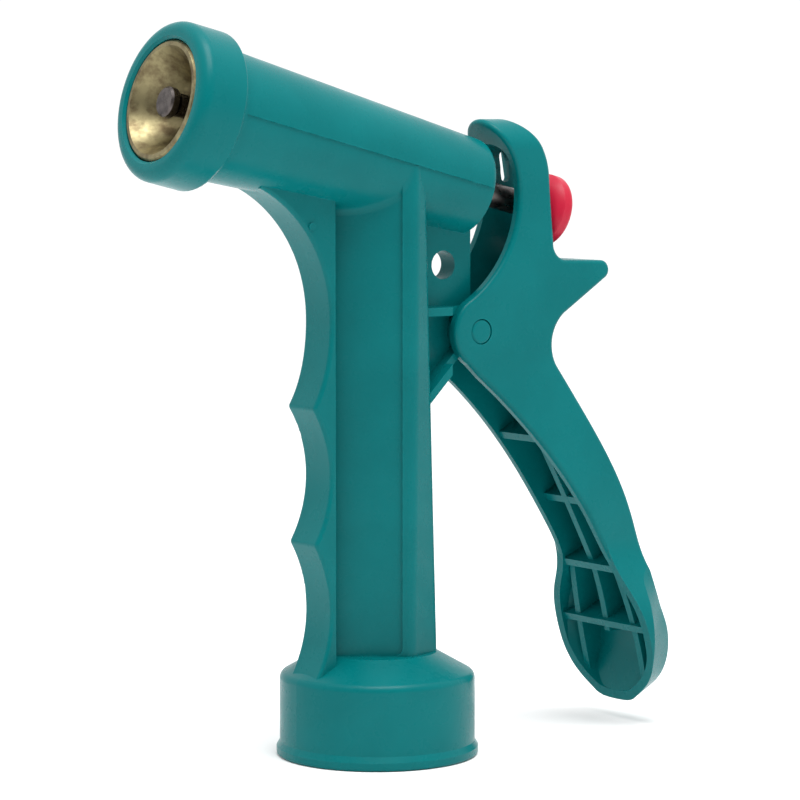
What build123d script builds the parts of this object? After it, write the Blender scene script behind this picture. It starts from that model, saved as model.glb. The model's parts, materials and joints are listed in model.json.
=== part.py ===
from build123d import *
import os
from math import cos, radians, sin, sqrt

# A pistol-grip hose spray nozzle with a rear lever, in millimetres.
#
# The origin is the centre of the hose collar's lower face. +Z runs up the grip, +X points
# the way the water leaves, and the XZ plane is the plane of symmetry.

# ------------------------------------------------------------------ driving dimensions
# Hose collar, for the 3/4 inch garden hose thread
COLLAR_RADIUS = 19.0
COLLAR_LIP_RADIUS = 19.65
COLLAR_SIDE_TOP = 15.9
COLLAR_CROWN = 20.1
COLLAR_CROWN_RADIUS = 11.6
COLLAR_EDGE = 1.6
LIP_EDGE = 0.7
HOSE_BORE_RADIUS = 13.3
HOSE_BORE_DEPTH = 14.0
HOSE_WASHER_THICKNESS = 3.0
HOSE_WASHER_HOLE = 8.2
HOSE_WASHER_SEAT_RADIUS = 12.9

# Barrel: places along it are measured from the point above the collar's centre
BARREL_TILT = 13.52
BARREL_HEIGHT = 114.85
BARREL_REAR = -22.4
BARREL_REAR_RADIUS = 9.66
BARREL_NECK_RADIUS = 12.75
BARREL_LEDGE = 0.35
RING_REAR = 40.83
RING_FRONT = 50.4
RING_RADIUS = 15.17
RING_EDGE = 2.24
RING_BORE_RADIUS = 11.6

# Spray insert, valve and stem
INSERT_RIM_RADIUS = 11.4
INSERT_BOWL_RADIUS = 10.0
INSERT_FRONT = 50.1
INSERT_SHOULDER = 46.4
INSERT_BORE_RADIUS = 9.4
INSERT_BORE_END = 32.0
INSERT_TUBE_END = 34.0
THROAT = (36.5, 39.5)
THROAT_RADIUS = 3.9
SEAT = 33.2
SEAT_RADII = (4.5, 5.7)
GASKET_THICKNESS = 1.0
STEM_RADIUS = 2.5
STEM_FRONT = 37.5
STEM_THREAD_RADIUS = 1.9
STEM_REAR = -43.9
RUNNING_CLEARANCE = 0.06
FIT_GAP = 0.05
VALVE_WASHER = (30.6, 33.1)
VALVE_WASHER_RADIUS = 7.0
WASHER_CUP_REAR = 28.8
STEM_COLLAR = (26.8, 28.8)
SPRING_CUP = (25.6, 26.8)
SPRING_SEAT = (-9.5, -8.5)
TIP_FRONT = 49.2
TIP_RADIUS = 2.9
CHAMBER_RADII = (8.7, 7.5)
BULKHEAD = (-12.0, -9.5)
PACKING_BORE_RADIUS = 6.2
PACKING_WASHER_REAR = -15.9
PACKING_RING_REAR = -15.0
GLAND_REAR = -21.9
SPRING_WIRE = 1.0
SPRING_RADIUS = 5.3
SPRING_TURNS = 9

# Grip
FLANGE_HALF = 4.6
FLANGE_BACK = 12.9
FLANGE_EDGE = 0.7
SCALLOP_VALLEY = 13.9
SCALLOP_CUSPS = [(17.9, 68.45), (17.6, 42.43)]
WEB_HALF = 2.0
PIP = (18.3, 103.0)
PIP_RADIUS = 0.7
PIP_HEIGHT = 0.35
PANEL_AZIMUTH = 54.2
PANEL_DISTANCE = 7.8
PANEL_DEPTH = 0.6
PANEL_SIDES = (-9.0, 4.9)
PANEL_ENDS = (20.2, 118.0)
PANEL_CORNER = 1.6
COLUMN_SECTIONS = [(16.0, 10.4, -9.9, 6.8), (114.2, 10.9, -5.3, 8.8)]
RIDGE_EDGE = 2.2
COLUMN_REAR_EDGE = 2.6
JUNCTION_EDGE = 2.0
PASSAGE_X = -1.0
PASSAGE_RADIUS = 5.8

# Bracket behind the grip, with its hanging hole and pivot boss
BRACKET_HALF = 2.25
BRACKET_REAR = -20.8
SHELF_TOP = 86.8
SHELF = 1.6
SHELF_HALF = 7.0
SHELF_REAR = -13.0
DIAGONAL_FOOT = 66.4
HANG_HOLE = (-14.2, 94.8)
HANG_HOLE_RADIUS = 2.8
PIVOT = (-20.1, 81.8)
PIN_RADIUS = 2.5
PIN_TAIL = 1.2
PIN_DOME = 0.7
RETAINER_RADIUS = 4.4
RETAINER_THICKNESS = 0.6
BOSS_RADIUS = 5.0
BOSS_HALF = 4.9

# Lever
LEVER_HALF = 7.0
LEVER_WALL = 2.0
LEVER_EDGE = 0.8
HEAD_HALF = 6.6
HEAD_SPRING = 117.2
HEAD_TOP = 123.1
HEAD_ROOF = 118.2
FLANK = 6.3
PADDLE_TOP = 36.0
PADDLE_MIDDLE = 19.0
PADDLE_RIM_X = -57.0
PADDLE_RIM = [
    (11.5, 30.1),
    (13.9, 26.4),
    (15.2, 22.8),
    (15.6, 19.0),
    (14.8, 13.0),
    (12.4, 8.6),
    (8.0, 5.0),
    (0, 3.0),
]
PADDLE_BACK_X = -66.0
PADDLE_BACK = [
    (7.7, 29.0),
    (8.1, 25.0),
    (9.7, 21.5),
    (10.4, 17.0),
    (9.8, 12.6),
    (8.2, 9.8),
    (5.0, 7.6),
    (0, 6.4),
]
ARM_BOUND = 9.6
SLOT_HALF = 4.8
SLOT_ENDS = (95.5, 117.0)
WINDOW_SIDE = 4.0
WINDOW = [(-32.9, 117.0), (-34.0, 110.6), (-36.1, 110.6), (-35.0, 117.0)]
WINDOW_EDGE = 0.9
ARM_RIB_HALF = 0.8
PADDLE_RIBS = [(6.6, 33.5), (8.8, 20.0), (8.6, 5.0)]
CROSS_RIBS = [(-34.6, 59.8), (-46.8, 46.4), (-52.9, 32.4), (-57.0, 20.2)]
CROSS_RIB_NORMAL = (0.5, 0, 0.87)

# Adjusting knob and its thrust washer, behind the lever's face
KNOB_RADIUS = 7.2
KNOB_APEX = -45.12
KNOB_NUT_RADIUS = 4.4
KNOB_NUT_LENGTH = 2.3
THRUST_SPHERE = 10.0
THRUST_RADIUS = 7.1
THRUST_CENTRE = -48.38
KNOB_FRONT = -41.4
KNOB_DOME = -42.75
KNOB_SHOULDER = (-44.25, 5.6)

# ------------------------------------------------------------------ frames and helpers
tilt = radians(BARREL_TILT)
spray_direction = (cos(tilt), 0, sin(tilt))
SPRAY_AXIS = Axis((0, 0, BARREL_HEIGHT), spray_direction)
SPRAY_PLANE = Plane(origin=(0, 0, BARREL_HEIGHT), x_dir=spray_direction, z_dir=(0, -1, 0))
EQUATOR_PLANE = Plane(origin=(0, 0, BARREL_HEIGHT), x_dir=spray_direction, z_dir=(-sin(tilt), 0, cos(tilt)))
PIVOT_AXIS_PLANE = Plane(origin=(PIVOT[0], 0, PIVOT[1]), x_dir=(1, 0, 0), z_dir=(0, -1, 0))

panel_normal = (cos(radians(PANEL_AZIMUTH)), sin(radians(PANEL_AZIMUTH)))
panel_front = (PANEL_DISTANCE - panel_normal[1] * WEB_HALF) / panel_normal[0]
thrust_pole = THRUST_CENTRE + sqrt(THRUST_SPHERE**2 - (STEM_RADIUS + 0.1) ** 2)
thrust_rim = THRUST_CENTRE + sqrt(THRUST_SPHERE**2 - THRUST_RADIUS**2)


def across_barrel(place):
    """Plane square to the barrel at a place along it, facing the spray."""
    origin = (place * cos(tilt), 0, BARREL_HEIGHT + place * sin(tilt))
    return Plane(origin=origin, x_dir=(0, 1, 0), z_dir=spray_direction)


def shoulder(half):
    """Where along X a panel's plane reaches that half width."""
    return (PANEL_DISTANCE - panel_normal[1] * half) / panel_normal[0]


def near(items, x, y):
    """The vertex of a sketch nearest to a point of it."""
    return items.sort_by_distance((x, y, 0))[0]


def turned(*points):
    """A turned piece on the spray axis, from its half section as (place, radius) points."""
    with BuildPart() as piece:
        with BuildSketch(SPRAY_PLANE):
            with BuildLine():
                Polyline(*points, close=True)
            make_face()
        revolve(axis=SPRAY_AXIS)
    return piece


def washer(rear, front, inner, outer):
    """A plain washer on the spray axis."""
    return turned((rear, inner), (front, inner), (front, outer), (rear, outer))


# ------------------------------------------------------------------ body moulding
# hanging bracket and pivot boss, made first so that its corners can be rounded alone
with BuildPart() as bracket:
    with BuildSketch(Plane.XZ):
        with BuildLine():
            Polyline(
                (-4, 106),
                (-4, DIAGONAL_FOOT + 1),
                (PIVOT[0], PIVOT[1] - SHELF),
                (BRACKET_REAR, SHELF_TOP),
                (BRACKET_REAR, 104),
                close=True,
            )
        make_face()
    extrude(amount=BRACKET_HALF, both=True)
    for half, rear in ((SHELF_HALF, SHELF_REAR), (BOSS_HALF, PIVOT[0])):
        diagonal_rise = (PIVOT[1] - SHELF / 2 - DIAGONAL_FOOT) * (rear + 6) / (PIVOT[0] + 6)
        with BuildSketch(Plane.XZ):
            with BuildLine():
                Polyline(
                    (-4, SHELF_TOP),
                    (rear, SHELF_TOP),
                    (rear, SHELF_TOP - SHELF),
                    (-4, SHELF_TOP - SHELF),
                    close=True,
                )
            make_face()
            with BuildLine():
                Polyline(
                    (-4, DIAGONAL_FOOT - 1.8),
                    (rear, DIAGONAL_FOOT + diagonal_rise),
                    (rear, DIAGONAL_FOOT + diagonal_rise + 2.1),
                    (-4, DIAGONAL_FOOT + 0.3),
                    close=True,
                )
            make_face()
        extrude(amount=half, both=True)
    with BuildSketch(PIVOT_AXIS_PLANE):
        Circle(BOSS_RADIUS)
    extrude(amount=BOSS_HALF, both=True)

# column of the grip: a wedge with slanted sides, deeper towards the collar, and a shallow
# recessed panel on each slanted side, open towards the flange
with BuildPart() as column:
    for level, widest, rear_x, rear_y in COLUMN_SECTIONS:
        with BuildSketch(Plane.XY.offset(level)) as section:
            with BuildLine():
                Polyline(
                    (FLANGE_BACK + 0.5, 0),
                    (FLANGE_BACK + 0.5, WEB_HALF),
                    (panel_front, WEB_HALF),
                    (shoulder(widest), widest),
                    (rear_x, rear_y),
                    (rear_x - 1.2, 0),
                )
                mirror(about=Plane.XZ)
            make_face()
            for side in (1, -1):
                fillet(near(section.vertices(), shoulder(widest), side * widest), RIDGE_EDGE)
                fillet(near(section.vertices(), rear_x, side * rear_y), COLUMN_REAR_EDGE)
    loft()
    for side in (1, -1):
        outward = Vector(panel_normal[0], side * panel_normal[1], 0)
        rearward = Vector(-panel_normal[1], side * panel_normal[0], 0)
        panel_plane = Plane(outward * (PANEL_DISTANCE - PANEL_DEPTH), x_dir=rearward, z_dir=outward)
        with BuildSketch(panel_plane):
            with Locations((sum(PANEL_SIDES) / 2, side * sum(PANEL_ENDS) / 2)):
                RectangleRounded(PANEL_SIDES[1] - PANEL_SIDES[0], PANEL_ENDS[1] - PANEL_ENDS[0], PANEL_CORNER)
        extrude(amount=PANEL_DEPTH + 0.8, mode=Mode.SUBTRACT)

# finger flange: three scallops in a plate that runs up under the barrel
with BuildPart() as flange:
    with BuildSketch(Plane.XZ) as flange_side:
        with BuildLine():
            Spline(
                (29.5, 110.2),
                (21.95, 104.9),
                (16.65, 97.5),
                (14.1, 89.0),
                (13.95, 81.5),
                (15.2, 74.5),
                SCALLOP_CUSPS[0],
            )
            ThreePointArc(SCALLOP_CUSPS[0], (SCALLOP_VALLEY, 55.4), SCALLOP_CUSPS[1])
            ThreePointArc(SCALLOP_CUSPS[1], (SCALLOP_VALLEY, 29.6), (18.2, 15.0))
            Polyline(
                (18.2, 15.0),
                (FLANGE_BACK, 15.0),
                (FLANGE_BACK, 112.0),
                (29.5, 116.0),
                (29.5, 110.2),
            )
        make_face()
        for cusp in SCALLOP_CUSPS:
            fillet(near(flange_side.vertices(), *cusp), 1.0)
    extrude(amount=FLANGE_HALF, both=True)
    rims = flange.edges().filter_by(lambda edge: abs(edge.center().Y) > FLANGE_HALF - 0.1)
    fillet(rims.filter_by(GeomType.LINE, reverse=True), FLANGE_EDGE)

with BuildPart() as body:
    # collar with its lip and sloping shoulder
    with BuildSketch(Plane.XZ) as collar_half:
        with BuildLine():
            Polyline(
                (0, COLLAR_CROWN),
                (0, 0),
                (COLLAR_LIP_RADIUS, 0),
                (COLLAR_LIP_RADIUS, 1.7),
                (COLLAR_RADIUS, 2.8),
                (COLLAR_RADIUS, COLLAR_SIDE_TOP),
                (COLLAR_CROWN_RADIUS, COLLAR_CROWN),
                close=True,
            )
        make_face()
        fillet(near(collar_half.vertices(), COLLAR_RADIUS, COLLAR_SIDE_TOP), COLLAR_EDGE)
        fillet(near(collar_half.vertices(), COLLAR_LIP_RADIUS, 0), LIP_EDGE)
    revolve(axis=Axis.Z)

    # barrel with the guard ring round its mouth
    with BuildSketch(SPRAY_PLANE) as barrel_half:
        with BuildLine():
            Polyline(
                (BARREL_REAR, 0),
                (BARREL_REAR, BARREL_REAR_RADIUS),
                (RING_REAR, BARREL_NECK_RADIUS),
                (RING_REAR, RING_RADIUS),
                (RING_FRONT, RING_RADIUS),
                (RING_FRONT, 0),
                close=True,
            )
        make_face()
        fillet(near(barrel_half.vertices(), BARREL_REAR, BARREL_REAR_RADIUS), 1.4)
        fillet(near(barrel_half.vertices(), RING_REAR, BARREL_NECK_RADIUS), 1.8)
        fillet(near(barrel_half.vertices(), RING_REAR, RING_RADIUS), 0.6)
        fillet(near(barrel_half.vertices(), RING_FRONT, RING_RADIUS), RING_EDGE)
    revolve(axis=SPRAY_AXIS)
    # the barrel's lower half is slimmer, which leaves a ledge along each side
    with BuildSketch(EQUATOR_PLANE):
        with BuildLine():
            Polyline(
                (BARREL_REAR - 1, BARREL_REAR_RADIUS - BARREL_LEDGE),
                (RING_REAR - 2, BARREL_NECK_RADIUS - BARREL_LEDGE),
                (RING_REAR - 2, BARREL_NECK_RADIUS + 1),
                (BARREL_REAR - 1, BARREL_NECK_RADIUS + 1),
                close=True,
            )
        make_face()
    revolve(axis=SPRAY_AXIS.reverse(), revolution_arc=180, mode=Mode.SUBTRACT)

    # column, its panels and ridges blended into the barrel, then the flange and the bracket
    add(column.part)
    joins = body.edges(Select.NEW).filter_by(lambda edge: edge.length > JUNCTION_EDGE)
    fillet(joins.filter_by(lambda edge: -1.5 < edge.center().X < 6 and edge.center().Z > 99), JUNCTION_EDGE)
    add(flange.part)
    add(bracket.part)

    # small moulded pip on the flange's side
    with BuildSketch(Plane.XZ.offset(-FLANGE_HALF)):
        with Locations(PIP):
            Circle(PIP_RADIUS)
    extrude(amount=-PIP_HEIGHT)

    # hose thread bore and the water passage up the grip
    with BuildSketch(Plane.XY):
        Circle(HOSE_BORE_RADIUS)
    extrude(amount=HOSE_BORE_DEPTH - HOSE_WASHER_THICKNESS, mode=Mode.SUBTRACT)
    with BuildSketch(Plane.XY):
        Circle(HOSE_WASHER_SEAT_RADIUS)
    extrude(amount=HOSE_BORE_DEPTH, mode=Mode.SUBTRACT)
    with BuildSketch(Plane.XY.offset(HOSE_BORE_DEPTH)):
        with Locations((PASSAGE_X, 0)):
            Circle(PASSAGE_RADIUS)
    extrude(amount=BARREL_HEIGHT - HOSE_BORE_DEPTH, mode=Mode.SUBTRACT)

    # insides of the barrel: mouth, insert bore, water chamber, stem hole and packing bore
    with BuildSketch(SPRAY_PLANE):
        with BuildLine():
            Polyline(
                (RING_FRONT, 0),
                (RING_FRONT, RING_BORE_RADIUS + 0.5),
                (RING_FRONT - 0.5, RING_BORE_RADIUS),
                (INSERT_SHOULDER - GASKET_THICKNESS, RING_BORE_RADIUS),
                (INSERT_SHOULDER - GASKET_THICKNESS, INSERT_BORE_RADIUS),
                (INSERT_BORE_END, INSERT_BORE_RADIUS),
                (INSERT_BORE_END, CHAMBER_RADII[0]),
                (BULKHEAD[1], CHAMBER_RADII[1]),
                (BULKHEAD[1], STEM_RADIUS + 0.3),
                (BULKHEAD[0], STEM_RADIUS + 0.3),
                (BULKHEAD[0], PACKING_BORE_RADIUS),
                (BARREL_REAR, PACKING_BORE_RADIUS),
                (BARREL_REAR, 0),
                close=True,
            )
        make_face()
    revolve(axis=SPRAY_AXIS, mode=Mode.SUBTRACT)

    # hanging hole and pivot bore
    with BuildSketch(Plane.XZ):
        with Locations(HANG_HOLE):
            Circle(HANG_HOLE_RADIUS)
    extrude(amount=BRACKET_HALF + 1, both=True, mode=Mode.SUBTRACT)
    with BuildSketch(PIVOT_AXIS_PLANE):
        Circle(PIN_RADIUS + RUNNING_CLEARANCE)
    extrude(amount=BOSS_HALF + 1, both=True, mode=Mode.SUBTRACT)

# ------------------------------------------------------------------ spray insert and valve
spray_insert = turned(
    (INSERT_FRONT, INSERT_RIM_RADIUS - 0.4),
    (INSERT_FRONT, INSERT_BOWL_RADIUS + 0.3),
    (INSERT_FRONT - 0.5, INSERT_BOWL_RADIUS),
    (THROAT[1] + 3.2, THROAT_RADIUS + 2.1),
    (THROAT[1], THROAT_RADIUS),
    (THROAT[0], THROAT_RADIUS),
    (THROAT[0] - 1.0, SEAT_RADII[0]),
    (SEAT, SEAT_RADII[0]),
    (SEAT, SEAT_RADII[1]),
    (INSERT_TUBE_END, SEAT_RADII[1] + 0.6),
    (INSERT_TUBE_END, INSERT_BORE_RADIUS - FIT_GAP),
    (INSERT_SHOULDER, INSERT_BORE_RADIUS - FIT_GAP),
    (INSERT_SHOULDER, INSERT_RIM_RADIUS),
    (INSERT_FRONT - 0.4, INSERT_RIM_RADIUS),
)

insert_gasket = washer(
    INSERT_SHOULDER - GASKET_THICKNESS, INSERT_SHOULDER, INSERT_BORE_RADIUS + FIT_GAP, INSERT_RIM_RADIUS
)

stem_tip = turned(
    (VALVE_WASHER[1], STEM_THREAD_RADIUS),
    (STEM_FRONT, STEM_THREAD_RADIUS),
    (STEM_FRONT, 0),
    (TIP_FRONT, 0),
    (TIP_FRONT, TIP_RADIUS - 0.4),
    (TIP_FRONT - 0.4, TIP_RADIUS),
    (TIP_FRONT - 1.6, TIP_RADIUS),
    (TIP_FRONT - 2.6, TIP_RADIUS - 0.7),
    (TIP_FRONT - 5.0, TIP_RADIUS - 0.7),
    (THROAT[1], THROAT_RADIUS - 0.5),
    (THROAT[0], THROAT_RADIUS - 0.3),
    (VALVE_WASHER[1] + 1.0, SEAT_RADII[0] - 0.6),
    (VALVE_WASHER[1], SEAT_RADII[0] - 0.6),
)

valve_washer = washer(*VALVE_WASHER, STEM_RADIUS, VALVE_WASHER_RADIUS)

washer_cup = turned(
    (WASHER_CUP_REAR, STEM_RADIUS),
    (VALVE_WASHER[0], STEM_RADIUS),
    (VALVE_WASHER[0], VALVE_WASHER_RADIUS),
    (VALVE_WASHER[0] + 1.2, VALVE_WASHER_RADIUS),
    (VALVE_WASHER[0] + 1.2, VALVE_WASHER_RADIUS + 0.7),
    (WASHER_CUP_REAR + 0.6, VALVE_WASHER_RADIUS + 0.7),
    (WASHER_CUP_REAR, VALVE_WASHER_RADIUS + 0.1),
)

stem = turned(
    (STEM_REAR, 0),
    (STEM_REAR, STEM_RADIUS - 0.5),
    (STEM_REAR + 0.5, STEM_RADIUS),
    (STEM_COLLAR[0], STEM_RADIUS),
    (STEM_COLLAR[0], STEM_RADIUS + 1.3),
    (STEM_COLLAR[1], STEM_RADIUS + 1.3),
    (STEM_COLLAR[1], STEM_RADIUS),
    (VALVE_WASHER[1], STEM_RADIUS),
    (VALVE_WASHER[1], STEM_THREAD_RADIUS),
    (STEM_FRONT, STEM_THREAD_RADIUS),
    (STEM_FRONT, 0),
)

# ------------------------------------------------------------------ spring and its seats
spring_cup = turned(
    (SPRING_CUP[0], STEM_RADIUS),
    (SPRING_CUP[1], STEM_RADIUS),
    (SPRING_CUP[1], SPRING_RADIUS + 1.1),
    (SPRING_CUP[0] - 1.2, SPRING_RADIUS + 1.1),
    (SPRING_CUP[0] - 1.2, SPRING_RADIUS + 0.6),
    (SPRING_CUP[0], SPRING_RADIUS + 0.6),
)
spring_seat = washer(*SPRING_SEAT, STEM_RADIUS + 0.3, SPRING_RADIUS + 1.2)

spring_start = SPRING_SEAT[1] + SPRING_WIRE / 2
spring_length = SPRING_CUP[0] - SPRING_WIRE / 2 - spring_start
with BuildPart() as return_spring:
    with BuildLine():
        coil = Helix(
            pitch=spring_length / SPRING_TURNS,
            height=spring_length,
            radius=SPRING_RADIUS,
            center=across_barrel(spring_start).origin,
            direction=spray_direction,
        )
    with BuildSketch(Plane(coil @ 0, z_dir=coil % 0)):
        Circle(SPRING_WIRE / 2)
    sweep(path=coil, is_frenet=True)

# ------------------------------------------------------------------ stem packing
packing_ring = washer(
    PACKING_RING_REAR, BULKHEAD[0], STEM_RADIUS + RUNNING_CLEARANCE, PACKING_BORE_RADIUS - FIT_GAP
)
packing_washer = washer(
    PACKING_WASHER_REAR, PACKING_RING_REAR, STEM_RADIUS + RUNNING_CLEARANCE, PACKING_BORE_RADIUS - FIT_GAP
)
with BuildPart() as gland_nut:
    with BuildSketch(across_barrel(GLAND_REAR)):
        Circle(PACKING_BORE_RADIUS - FIT_GAP)
        Circle(STEM_RADIUS + RUNNING_CLEARANCE, mode=Mode.SUBTRACT)
    extrude(amount=PACKING_WASHER_REAR - GLAND_REAR)
    with BuildSketch(across_barrel(GLAND_REAR)):
        Rectangle(2 * PACKING_BORE_RADIUS, 1.6)
    extrude(amount=1.8, mode=Mode.SUBTRACT)

# ------------------------------------------------------------------ hose washer
with BuildPart() as hose_washer:
    with BuildSketch(Plane.XY.offset(HOSE_BORE_DEPTH - HOSE_WASHER_THICKNESS)):
        Circle(HOSE_WASHER_SEAT_RADIUS - FIT_GAP)
        Circle(HOSE_WASHER_HOLE, mode=Mode.SUBTRACT)
    extrude(amount=HOSE_WASHER_THICKNESS)

# ------------------------------------------------------------------ lever
def lever_front(inset, top):
    """The lever's outline from the front, drawn in by a wall thickness for its hollow.

    An arched head, parallel past the pivot, wider down the arm and round at the paddle.
    """
    with BuildSketch() as front:
        with BuildLine():
            EllipticalCenterArc(
                (0, HEAD_SPRING - inset),
                HEAD_HALF - inset,
                top - HEAD_SPRING + inset,
                start_angle=0,
                arc_size=90,
            )
            Spline(
                (HEAD_HALF - inset, HEAD_SPRING - inset),
                (HEAD_HALF - inset, 108.0),
                (LEVER_HALF - inset, 90.0),
                (LEVER_HALF - inset, 72.0),
                (8.1 - inset, 57.0),
                (8.7 - inset, 42.0),
                (8.9 - inset, 35.5),
                (11.0 - inset, 30.1),
                (13.3 - inset, 26.4),
                (14.6 - inset, 22.8),
                (15.0 - inset, 19.0),
                (14.2 - inset, 13.4),
                (11.9 - inset, 9.4 + inset / 3),
                (7.4 - inset / 2, 5.7 + inset * 0.8),
                (0, 4.0 + inset),
                tangents=[(0, -1), (-1, 0)],
            )
            mirror(about=Plane.YZ)
        make_face()
    return front.sketch


def paddle_bounds(inset):
    """Room for the lever whose rear part closes in on the paddle's back, to round its corners."""
    with BuildPart() as bounds:
        for place, outline in ((PADDLE_RIM_X, PADDLE_RIM), (PADDLE_BACK_X, PADDLE_BACK)):
            curve = [(ARM_BOUND - inset, outline[0][1] + 10)]
            for half, level in outline:
                reach = sqrt(half**2 + (level - PADDLE_MIDDLE) ** 2)
                kept = 1 - inset / reach
                curve.append((half * kept, PADDLE_MIDDLE + (level - PADDLE_MIDDLE) * kept))
            with BuildSketch(Plane.YZ.offset(place)) as section:
                with BuildLine():
                    Polyline((0, 124), (curve[0][0], 124), curve[0])
                    Spline(*curve, tangents=[(0, -1), (-1, 0)])
                    mirror(about=Plane.YZ)
                make_face()
            if outline is PADDLE_RIM:
                rim_section = section.sketch
        loft()
        extrude(rim_section, amount=60, dir=(1, 0, 0))
    return bounds.part


with BuildPart() as lever_block:
    # outline from the side
    with BuildSketch(Plane.XZ):
        with BuildLine():
            Spline(
                (-23.2, 123.6),
                (-25.8, 119.5),
                (-28.5, 115.0),
                (-29.7, 110.0),
                (-29.3, 104.0),
                (-26.0, 96.2),
                (-17.0, 87.7),
            )
            ThreePointArc((-17.0, 87.7), (-13.8, 81.6), (-17.2, 75.4))
            Line((-17.2, 75.4), (-19.9, 72.8))
            ThreePointArc((-19.9, 72.8), (-38.4, 54.4), (-51.9, 34.0))
            ThreePointArc((-51.9, 34.0), (-56.5, 19.7), (-60.3, 3.6))
            Spline(
                (-60.3, 3.6),
                (-62.6, 7.2),
                (-64.5, 12.0),
                (-65.0, 17.0),
                (-64.0, 23.2),
                (-61.3, 31.6),
                (-55.4, 48.0),
                (-46.9, 63.1),
                (-39.2, 74.3),
            )
            ThreePointArc((-39.2, 74.3), (-38.0, 79.2), (-41.0, 84.7))
            Line((-41.0, 84.7), (-51.2, 91.3))
            ThreePointArc((-51.2, 91.3), (-52.3, 93.3), (-50.3, 95.0))
            Line((-50.3, 95.0), (-41.2, 95.3))
            ThreePointArc((-41.2, 95.3), (-39.1, 96.4), (-38.3, 98.8))
            Line((-38.3, 98.8), (-37.4, 111.5))
            ThreePointArc((-37.4, 111.5), (-34.9, 118.8), (-28.6, 123.6))
            Line((-28.6, 123.6), (-23.2, 123.6))
        make_face()
    extrude(amount=16, both=True)
    with BuildSketch(Plane.YZ):
        add(lever_front(0, HEAD_TOP))
    extrude(amount=80, both=True, mode=Mode.INTERSECT)
    add(paddle_bounds(0), mode=Mode.INTERSECT)
    flanks = lever_block.edges().filter_by(lambda edge: abs(edge.center().Y) > FLANK)
    fillet(flanks.filter_by(lambda edge: edge.center().Z > PADDLE_TOP), LEVER_EDGE)

# hollow of the lever: everything inside its walls and in front of its back
with BuildPart() as lever_hollow:
    with BuildSketch(Plane.XZ):
        with BuildLine():
            Polyline((-24.0, 122.0), (0, 122.0), (0, 60.0), (-40.0, 4.0), (-58.4, 4.0))
            Spline(
                (-58.4, 4.0),
                (-60.9, 7.9),
                (-62.5, 12.5),
                (-63.0, 17.0),
                (-62.0, 22.7),
                (-59.2, 32.0),
                (-53.4, 48.8),
                (-44.9, 64.2),
                (-37.2, 75.5),
                (-36.0, 83.0),
            )
            Line((-36.0, 83.0), (-36.3, 98.0))
            Line((-36.3, 98.0), (-35.4, 110.5))
            ThreePointArc((-35.4, 110.5), (-32.9, 117.3), (-28.0, 122.0))
            Line((-28.0, 122.0), (-24.0, 122.0))
        make_face()
    extrude(amount=16, both=True)
    with BuildSketch(Plane.YZ):
        add(lever_front(LEVER_WALL, HEAD_ROOF))
    extrude(amount=80, both=True, mode=Mode.INTERSECT)
    add(paddle_bounds(LEVER_WALL), mode=Mode.INTERSECT)

# stiffening ribs inside the arm: cross ribs, one down the middle and two in the paddle
with BuildPart() as lever_ribs:
    with BuildSketch(Plane.XZ) as middle_rib:
        with BuildLine():
            ThreePointArc((-40.3, 58.0), (-49.4, 41.5), (-53.8, 33.0))
            ThreePointArc((-53.8, 33.0), (-56.2, 26.0), (-57.9, 18.6))
            Polyline((-57.9, 18.6), (-66.0, 18.6), (-66.0, 58.0), (-40.3, 58.0))
        make_face()
    extrude(amount=ARM_RIB_HALF, both=True)
    for x, z in CROSS_RIBS:
        rib_plane = Plane(origin=(x, 0, z), x_dir=(0, 1, 0), z_dir=CROSS_RIB_NORMAL)
        with BuildSketch(rib_plane):
            Rectangle(32, 20, align=(Align.CENTER, Align.MIN))
        extrude(amount=ARM_RIB_HALF, both=True)

with BuildPart() as paddle_ribs:
    with BuildSketch(Plane.XZ):
        with BuildLine():
            ThreePointArc((-53.6, 33.5), (-57.6, 20.0), (-61.0, 5.0))
            Polyline((-61.0, 5.0), (-67.0, 5.0), (-67.0, 33.5), (-53.6, 33.5))
        make_face()
    extrude(amount=16, both=True)
    with BuildSketch(Plane.YZ):
        for side in (1, -1):
            with BuildLine():
                for edge in (-ARM_RIB_HALF, ARM_RIB_HALF):
                    ThreePointArc(
                        (side * (PADDLE_RIBS[0][0] + edge), PADDLE_RIBS[0][1]),
                        (side * (PADDLE_RIBS[1][0] + edge), PADDLE_RIBS[1][1]),
                        (side * (PADDLE_RIBS[2][0] + edge), PADDLE_RIBS[2][1]),
                    )
                for place, level in (PADDLE_RIBS[0], PADDLE_RIBS[2]):
                    Line((side * (place - ARM_RIB_HALF), level), (side * (place + ARM_RIB_HALF), level))
            make_face()
    extrude(amount=80, both=True, mode=Mode.INTERSECT)

with BuildPart() as lever:
    add(lever_ribs.part)
    add(paddle_ribs.part)
    add(lever_hollow.part, mode=Mode.INTERSECT)
    add(lever_block.part - lever_hollow.part)
    # slot that lets the stem through to the knob
    with BuildSketch(Plane.YZ.offset(-30)):
        with Locations((0, sum(SLOT_ENDS) / 2)):
            SlotOverall(SLOT_ENDS[1] - SLOT_ENDS[0], 2 * SLOT_HALF, rotation=90)
    extrude(amount=-20, mode=Mode.SUBTRACT)
    # small window through the head's side, on the pin's plain side
    with BuildSketch(Plane.XZ.offset(WINDOW_SIDE)) as window:
        with BuildLine():
            Polyline(*WINDOW, close=True)
        make_face()
        fillet(window.vertices(), WINDOW_EDGE)
    extrude(amount=HEAD_HALF, mode=Mode.SUBTRACT)
    # pin hole
    with BuildSketch(PIVOT_AXIS_PLANE):
        Circle(PIN_RADIUS)
    extrude(amount=LEVER_HALF + 1, both=True, mode=Mode.SUBTRACT)

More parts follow.
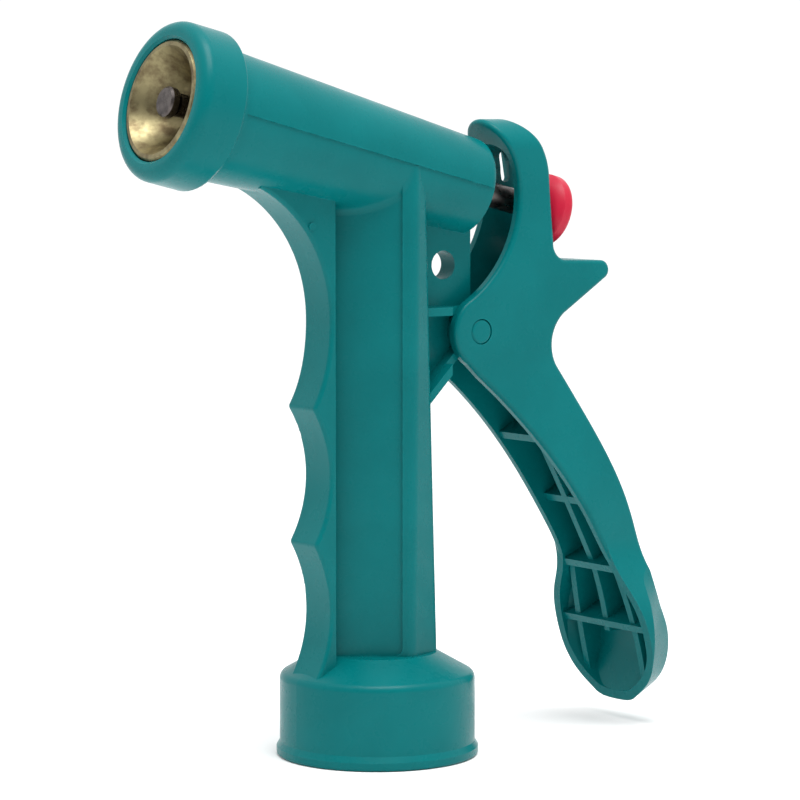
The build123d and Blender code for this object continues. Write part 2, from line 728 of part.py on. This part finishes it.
# ------------------------------------------------------------------ pivot pin and its retainer
with BuildPart() as pivot_pin:
    with BuildSketch(PIVOT_AXIS_PLANE.offset(-LEVER_HALF)):
        Circle(PIN_RADIUS)
    extrude(amount=2 * LEVER_HALF + PIN_TAIL)
    chamfer(pivot_pin.edges().group_by(Axis.Y)[0], 0.3)
    fillet(pivot_pin.edges().group_by(Axis.Y)[-1], PIN_DOME)

with BuildPart() as pin_retainer:
    with BuildSketch(PIVOT_AXIS_PLANE.offset(LEVER_HALF)):
        Circle(RETAINER_RADIUS)
        Circle(PIN_RADIUS, mode=Mode.SUBTRACT)
    extrude(amount=RETAINER_THICKNESS)

# ------------------------------------------------------------------ adjusting knob
with BuildPart() as adjusting_knob:
    with BuildSketch(SPRAY_PLANE):
        with BuildLine():
            Line((KNOB_APEX, 0), (KNOB_FRONT, 0))
            Polyline((KNOB_FRONT, 0), (KNOB_FRONT, KNOB_RADIUS - 0.1), (KNOB_FRONT - 0.1, KNOB_RADIUS))
            Line((KNOB_FRONT - 0.1, KNOB_RADIUS), (KNOB_DOME, KNOB_RADIUS))
            Spline((KNOB_DOME, KNOB_RADIUS), KNOB_SHOULDER, (KNOB_APEX, 0), tangents=[(-1, 0), (0, -1)])
        make_face()
    revolve(axis=SPRAY_AXIS)
    with BuildSketch(across_barrel(KNOB_FRONT)):
        RegularPolygon(KNOB_NUT_RADIUS, 6)
    extrude(amount=-KNOB_NUT_LENGTH, mode=Mode.SUBTRACT)
    with BuildSketch(across_barrel(KNOB_FRONT - KNOB_NUT_LENGTH)):
        Circle(STEM_RADIUS + 0.3)
    extrude(amount=-0.4, mode=Mode.SUBTRACT)

with BuildPart() as knob_nut:
    with BuildSketch(across_barrel(KNOB_FRONT)):
        RegularPolygon(KNOB_NUT_RADIUS, 6)
        Circle(STEM_RADIUS + RUNNING_CLEARANCE, mode=Mode.SUBTRACT)
    extrude(amount=-KNOB_NUT_LENGTH)

with BuildPart() as thrust_washer:
    with BuildSketch(SPRAY_PLANE):
        with BuildLine():
            Polyline(
                (thrust_pole, STEM_RADIUS + 0.1),
                (KNOB_FRONT, STEM_RADIUS + 0.1),
                (KNOB_FRONT, THRUST_RADIUS),
                (thrust_rim, THRUST_RADIUS),
            )
            RadiusArc((thrust_rim, THRUST_RADIUS), (thrust_pole, STEM_RADIUS + 0.1), THRUST_SPHERE)
        make_face()
    revolve(axis=SPRAY_AXIS)

# ------------------------------------------------------------------ one STEP file per piece
pieces = {
    "body": body,
    "spray_insert": spray_insert,
    "insert_gasket": insert_gasket,
    "spring_seat": spring_seat,
    "return_spring": return_spring,
    "packing_ring": packing_ring,
    "packing_washer": packing_washer,
    "gland_nut": gland_nut,
    "hose_washer": hose_washer,
    "lever": lever,
    "pivot_pin": pivot_pin,
    "pin_retainer": pin_retainer,
    "stem": stem,
    "stem_tip": stem_tip,
    "valve_washer": valve_washer,
    "washer_cup": washer_cup,
    "spring_cup": spring_cup,
    "thrust_washer": thrust_washer,
    "adjusting_knob": adjusting_knob,
    "knob_nut": knob_nut,
}
os.makedirs("parts", exist_ok=True)
for label, piece in pieces.items():
    piece.part.label = label
    export_step(piece.part, f"parts/{label}.step")
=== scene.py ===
import json
import math

import bmesh
import bpy
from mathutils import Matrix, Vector


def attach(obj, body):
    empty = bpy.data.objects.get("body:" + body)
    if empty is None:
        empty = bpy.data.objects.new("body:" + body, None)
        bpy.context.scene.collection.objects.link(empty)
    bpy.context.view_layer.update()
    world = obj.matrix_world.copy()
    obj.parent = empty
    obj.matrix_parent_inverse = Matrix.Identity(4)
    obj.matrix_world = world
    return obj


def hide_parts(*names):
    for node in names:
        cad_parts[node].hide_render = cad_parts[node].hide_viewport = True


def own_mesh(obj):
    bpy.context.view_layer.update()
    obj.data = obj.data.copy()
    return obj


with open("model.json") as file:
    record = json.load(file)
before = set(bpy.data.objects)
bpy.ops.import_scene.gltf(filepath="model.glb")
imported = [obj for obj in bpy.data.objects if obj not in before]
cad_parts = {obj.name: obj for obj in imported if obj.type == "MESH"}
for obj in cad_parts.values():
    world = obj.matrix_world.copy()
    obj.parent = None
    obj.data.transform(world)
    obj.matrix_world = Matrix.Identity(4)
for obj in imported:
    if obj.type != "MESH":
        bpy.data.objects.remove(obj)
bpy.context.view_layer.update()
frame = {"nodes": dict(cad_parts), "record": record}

nodes = frame["nodes"]
scene = bpy.context.scene

# ------------------------------------------------------------------ materials
# sizes of the surface patterns, in millimetres
FLOW_MOTTLE = 14
SHEEN_AND_RUB_EDGE = 0.5
SHEEN_AND_RUB_PATCH = 3
GLOSS_PATCH = 5
ORANGE_PEEL = 0.9
WAVINESS = 6
TARNISH_PATCH = 2.5
METAL_GLOSS_PATCH = 1.2
SCRATCHES = 0.35
PAPER_CLOUD = 60
# share of the lighter edge colour, a painted highlight mixed with rubbed wear, where an edge is
# lightest
MOST_SHEEN_AND_WEAR = 0.35


class Graph:
    """A material's node tree, with short calls for the nodes used here."""

    def __init__(self, name):
        self.material = bpy.data.materials.new(name)
        self.material.use_nodes = True
        self.tree = self.material.node_tree
        self.shader = self.tree.nodes["Principled BSDF"]
        self.place = self.node("ShaderNodeTexCoord").outputs["Object"]

    def node(self, kind, **settings):
        made = self.tree.nodes.new(kind)
        for key, value in settings.items():
            setattr(made, key, value)
        return made

    def link(self, source, target):
        """Link an output to an input, which may be named if it is the shader's own."""
        if isinstance(target, str):
            target = self.shader.inputs[target]
        self.tree.links.new(source, target)

    def noise(self, size_mm, detail=2.0, rough=0.5):
        """Noise whose lumps are about size_mm across."""
        made = self.node("ShaderNodeTexNoise")
        made.inputs["Scale"].default_value = 1000.0 / size_mm
        made.inputs["Detail"].default_value = detail
        made.inputs["Roughness"].default_value = rough
        self.link(self.place, made.inputs["Vector"])
        return made.outputs["Fac"]

    def spread(self, value, low, high, to_low, to_high):
        """A value's range carried over to another range, and held at its ends."""
        made = self.node("ShaderNodeMapRange")
        ends = {"From Min": low, "From Max": high, "To Min": to_low, "To Max": to_high}
        for name, number in ends.items():
            made.inputs[name].default_value = number
        self.link(value, made.inputs["Value"])
        return made.outputs["Result"]

    def mix(self, factor, a, b):
        """Colour between a and b, each a colour or a node's output."""
        made = self.node("ShaderNodeMix", data_type="RGBA")
        self.link(factor, made.inputs["Factor"])
        for value, socket in ((a, made.inputs["A"]), (b, made.inputs["B"])):
            if isinstance(value, tuple):
                socket.default_value = (*value, 1)
            else:
                self.link(value, socket)
        return made.outputs["Result"]

    def maths(self, operation, a, b):
        made = self.node("ShaderNodeMath", operation=operation)
        self.link(a, made.inputs[0])
        self.link(b, made.inputs[1])
        return made.outputs[0]

    def edges(self, radius_mm):
        """0 on flat faces, rising on edges, where a painted highlight and rubbed wear are laid."""
        rounded = self.node("ShaderNodeBevel", samples=4)
        rounded.inputs["Radius"].default_value = radius_mm / 1000
        geometry = self.node("ShaderNodeNewGeometry")
        dot = self.node("ShaderNodeVectorMath", operation="DOT_PRODUCT")
        self.link(rounded.outputs[0], dot.inputs[0])
        self.link(geometry.outputs["Normal"], dot.inputs[1])
        return self.spread(dot.outputs["Value"], 0.995, 0.93, 0.0, 1.0)

    def bump(self, height, strength, distance_mm):
        made = self.node("ShaderNodeBump")
        made.inputs["Strength"].default_value = strength
        made.inputs["Distance"].default_value = distance_mm / 1000
        self.link(height, made.inputs["Height"])
        self.link(made.outputs[0], "Normal")


def srgb(r, g, b):
    """Linear colour of an 8-bit display colour."""
    shares = [level / 255 for level in (r, g, b)]
    return tuple(s / 12.92 if s <= 0.04 else ((s + 0.055) / 1.055) ** 2.4 for s in shares)


def plastic(name, main, other, sheen_and_worn, roughness, specular=0.5):
    """Moulded plastic: faint flow mottle, orange-peel bump, lighter edges painted as highlight mixed
    with rubbed wear.
    """
    graph = Graph(name)
    graph.shader.inputs["Specular IOR Level"].default_value = specular
    mottle = graph.spread(graph.noise(FLOW_MOTTLE, 3), 0.35, 0.65, 0, 1)
    colour = graph.mix(mottle, main, other)
    # painted edge highlight mixed with rubbed wear: the edges are lightened in patches
    patches = graph.spread(graph.noise(SHEEN_AND_RUB_PATCH, 4), 0.4, 0.7, 0, MOST_SHEEN_AND_WEAR)
    sheen_and_rub = graph.maths("MULTIPLY", graph.edges(SHEEN_AND_RUB_EDGE), patches)
    graph.link(graph.mix(sheen_and_rub, colour, sheen_and_worn), "Base Color")
    gloss = graph.spread(graph.noise(GLOSS_PATCH, 4, 0.6), 0.3, 0.7, roughness - 0.05, roughness + 0.06)
    graph.link(gloss, "Roughness")
    graph.bump(graph.maths("ADD", graph.noise(ORANGE_PEEL), graph.noise(WAVINESS)), 0.12, 0.05)
    return graph.material


def metal(name, main, tarnish, roughness):
    """Turned metal with tarnish patches and fine scratches."""
    graph = Graph(name)
    graph.shader.inputs["Metallic"].default_value = 1.0
    patches = graph.spread(graph.noise(TARNISH_PATCH, 5, 0.6), 0.42, 0.68, 0, 1)
    graph.link(graph.mix(patches, main, tarnish), "Base Color")
    gloss = graph.spread(graph.noise(METAL_GLOSS_PATCH, 4), 0.3, 0.7, roughness - 0.06, roughness + 0.1)
    graph.link(gloss, "Roughness")
    graph.bump(graph.noise(SCRATCHES, 3), 0.15, 0.02)
    return graph.material


# each plastic's main colour, its mottle and its lighter edge colour, a painted highlight mixed with
# rubbed wear
TEAL = (srgb(0, 100, 102), srgb(1, 105, 107), srgb(30, 134, 138))
RED = (srgb(174, 20, 48), srgb(182, 25, 54), srgb(206, 78, 96))
BLACK = (srgb(26, 26, 27), srgb(32, 32, 33), srgb(60, 60, 62))

finishes = {
    "teal_plastic": plastic("teal_plastic", *TEAL, 0.28, specular=0.1),
    "red_plastic": plastic("red_plastic", *RED, 0.3, specular=0.24),
    "brass": metal("brass", srgb(140, 131, 98), srgb(96, 84, 62), 0.4),
    "dark_metal": metal("dark_metal", srgb(96, 90, 88), srgb(56, 52, 52), 0.3),
    "steel": metal("steel", srgb(176, 178, 180), srgb(130, 130, 130), 0.3),
    "rubber": plastic("rubber", *BLACK, 0.6),
}
for part in frame["record"]["subparts"]:
    piece = nodes[part["node"]]
    piece.data.materials.clear()
    piece.data.materials.append(finishes[part["material_slot"]])


# ------------------------------------------------------------------ mesh helpers
def mesh_piece(name, verts, faces, material):
    """A closed mesh as a new object with its faces turned outwards."""
    mesh = bpy.data.meshes.new(name)
    mesh.from_pydata(verts, [], faces)
    mesh.validate()
    mesh.materials.append(material)
    shape = bmesh.new()
    shape.from_mesh(mesh)
    bmesh.ops.recalc_face_normals(shape, faces=shape.faces)
    shape.to_mesh(mesh)
    shape.free()
    piece = bpy.data.objects.new(name, mesh)
    scene.collection.objects.link(piece)
    return piece


def tube_faces(rings, sides):
    """Faces that join rings of points in a row, with a cap at each end."""
    faces = [tuple(reversed(range(sides))), tuple(range(sides * (rings - 1), sides * rings))]
    for ring in range(rings - 1):
        low = sides * ring
        for side in range(sides):
            after = (side + 1) % sides
            faces.append((low + side, low + after, low + sides + after, low + sides + side))
    return faces


# ------------------------------------------------------------------ thread inside the hose collar
# the 3/4 inch garden hose thread, 11.5 turns to the inch: a ridge on the wall of the bore
THREAD_PITCH = 0.0254 / 11.5
THREAD_WALL = 0.01335
THREAD_CREST = 0.01245
THREAD_START = 0.0012
THREAD_TURNS = 4
THREAD_STEPS = 120
# how far up the pitch each corner of the ridge's section lies: root, crest, crest, root
THREAD_RISES = (0, 0.36, 0.5, 0.86)
# the turns over which the ridge rises at each end, and its least share of the full height
THREAD_FADE = 0.25
THREAD_LEAST = 0.02


def thread_points():
    """The ridge's section carried round a helix, fading out at both ends."""
    points = []
    for step in range(THREAD_TURNS * THREAD_STEPS + 1):
        turn = step / THREAD_STEPS
        angle = 2 * math.pi * turn
        fade = min(1, turn / THREAD_FADE, (THREAD_TURNS - turn) / THREAD_FADE)
        crest = THREAD_WALL - (THREAD_WALL - THREAD_CREST) * max(fade, THREAD_LEAST)
        level = THREAD_START + THREAD_PITCH * turn
        for radius, rise in zip((THREAD_WALL, crest, crest, THREAD_WALL), THREAD_RISES):
            height = level + THREAD_PITCH * rise
            points.append((radius * math.cos(angle), radius * math.sin(angle), height))
    return points


ridge_faces = tube_faces(THREAD_TURNS * THREAD_STEPS + 1, len(THREAD_RISES))
ridge = mesh_piece("hose_thread_ridge", thread_points(), ridge_faces, finishes["teal_plastic"])
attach(ridge, "grip")

# ------------------------------------------------------------------ return spring in the barrel
# round wire with a closed turn at each end, built at one fixed length; on the nozzle it shortens as the
# stem draws back
BARREL_TILT = math.radians(13.52)
BARREL_ORIGIN = Vector((0, 0, 0.11485))
ALONG = Vector((math.cos(BARREL_TILT), 0, math.sin(BARREL_TILT)))
ACROSS = Vector((0, 1, 0))
UPWARD = ALONG.cross(ACROSS)
# the spring's ends are places along the barrel, and its wire's size is a radius
SPRING_REAR = -0.0085
SPRING_FRONT = 0.0256
SPRING_RADIUS = 0.0053
SPRING_WIRE = 0.0005
SPRING_TURNS = 9
SPRING_STEPS = 48
SPRING_SIDES = 12
CLOSED_PITCH = 0.00104


def spring_points():
    """The wire's round section carried along the coil."""
    first = SPRING_REAR + SPRING_WIRE
    last = SPRING_FRONT - SPRING_WIRE
    open_turns = SPRING_TURNS - 2
    open_pitch = (last - first - 2 * CLOSED_PITCH) / open_turns
    points = []
    for step in range(SPRING_TURNS * SPRING_STEPS + 1):
        turn = step / SPRING_STEPS
        opened = min(max(turn - 1, 0), open_turns)
        place = first + open_pitch * opened + CLOSED_PITCH * (turn - opened)
        angle = 2 * math.pi * turn
        outward = ACROSS * math.cos(angle) + UPWARD * math.sin(angle)
        centre = BARREL_ORIGIN + ALONG * place + outward * SPRING_RADIUS
        for side in range(SPRING_SIDES):
            round_wire = 2 * math.pi * side / SPRING_SIDES
            offset = outward * math.cos(round_wire) + ALONG * math.sin(round_wire)
            points.append(centre + offset * SPRING_WIRE)
    return points


spring_faces = tube_faces(SPRING_TURNS * SPRING_STEPS + 1, SPRING_SIDES)
spring = mesh_piece("return_spring_coil", spring_points(), spring_faces, finishes["steel"])
spring.data.shade_smooth()
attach(spring, "grip")
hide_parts("return_spring")
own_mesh(spring)

# ------------------------------------------------------------------ floor and camera
FLOOR_SIZE = 16
PAPER = ((0.9, 0.9, 0.9), (0.92, 0.92, 0.92))
bpy.ops.mesh.primitive_plane_add(size=FLOOR_SIZE, location=(0, 0, 0))
floor = bpy.context.object
floor.name = "floor"
ground = Graph("floor_paper")
ground.link(ground.mix(ground.noise(PAPER_CLOUD), *PAPER), "Base Color")
ground.shader.inputs["Roughness"].default_value = 0.9
ground.shader.inputs["Specular IOR Level"].default_value = 0.0
floor.data.materials.append(ground.material)

CAMERA_AT = Vector((0.35697, 0.50217, 0.12267))
CAMERA_BACK = Vector((0.583, 0.8078, 0.0868))
LENS_MM = 144
SENSOR_MM = 36
camera = bpy.data.objects.new("camera", bpy.data.cameras.new("camera"))
scene.collection.objects.link(camera)
camera.location = CAMERA_AT
camera.rotation_mode = "QUATERNION"
camera.rotation_quaternion = (-CAMERA_BACK).to_track_quat("-Z", "Y")
camera.data.lens = LENS_MM
camera.data.sensor_width = SENSOR_MM
camera.data.clip_start = 0.01
scene.camera = camera

# ------------------------------------------------------------------ lights
LAMP_TARGET = Vector((-0.005, 0, 0.075))


def lamp(kind, name, place, power, **settings):
    """A lamp that shines at the middle of the object."""
    data = bpy.data.lights.new(name, kind)
    data.energy = power
    for key, value in settings.items():
        setattr(data, key, value)
    light = bpy.data.objects.new(name, data)
    scene.collection.objects.link(light)
    light.location = place
    light.rotation_mode = "QUATERNION"
    light.rotation_quaternion = (LAMP_TARGET - Vector(place)).to_track_quat("-Z", "Y")


lamp("SUN", "sky_panel", (0.1, 0.3, 1.5), 1.0, angle=math.radians(70))
lamp("AREA", "overhead", (0.05, 0.18, 0.72), 4.2, shape="RECTANGLE", size=0.4, size_y=0.4)

# white studio walls all round, dim on the photographer's side
PHOTOGRAPHER = (0.585, 0.811, 0)
DIMMING = {"From Min": 0.1, "From Max": 0.9, "To Min": 1.05, "To Max": 0.35}
world = bpy.data.worlds.new("studio")
scene.world = world
world.use_nodes = True
tree = world.node_tree
towards = tree.nodes.new("ShaderNodeVectorMath")
towards.operation = "DOT_PRODUCT"
towards.inputs[1].default_value = PHOTOGRAPHER
tree.links.new(tree.nodes.new("ShaderNodeTexCoord").outputs["Generated"], towards.inputs[0])
shade = tree.nodes.new("ShaderNodeMapRange")
for name, number in DIMMING.items():
    shade.inputs[name].default_value = number
tree.links.new(towards.outputs["Value"], shade.inputs["Value"])
tree.links.new(shade.outputs["Result"], tree.nodes["Background"].inputs["Strength"])
tree.nodes["Background"].inputs["Color"].default_value = (1, 1, 1, 1)
scene.view_settings.view_transform = "Standard"
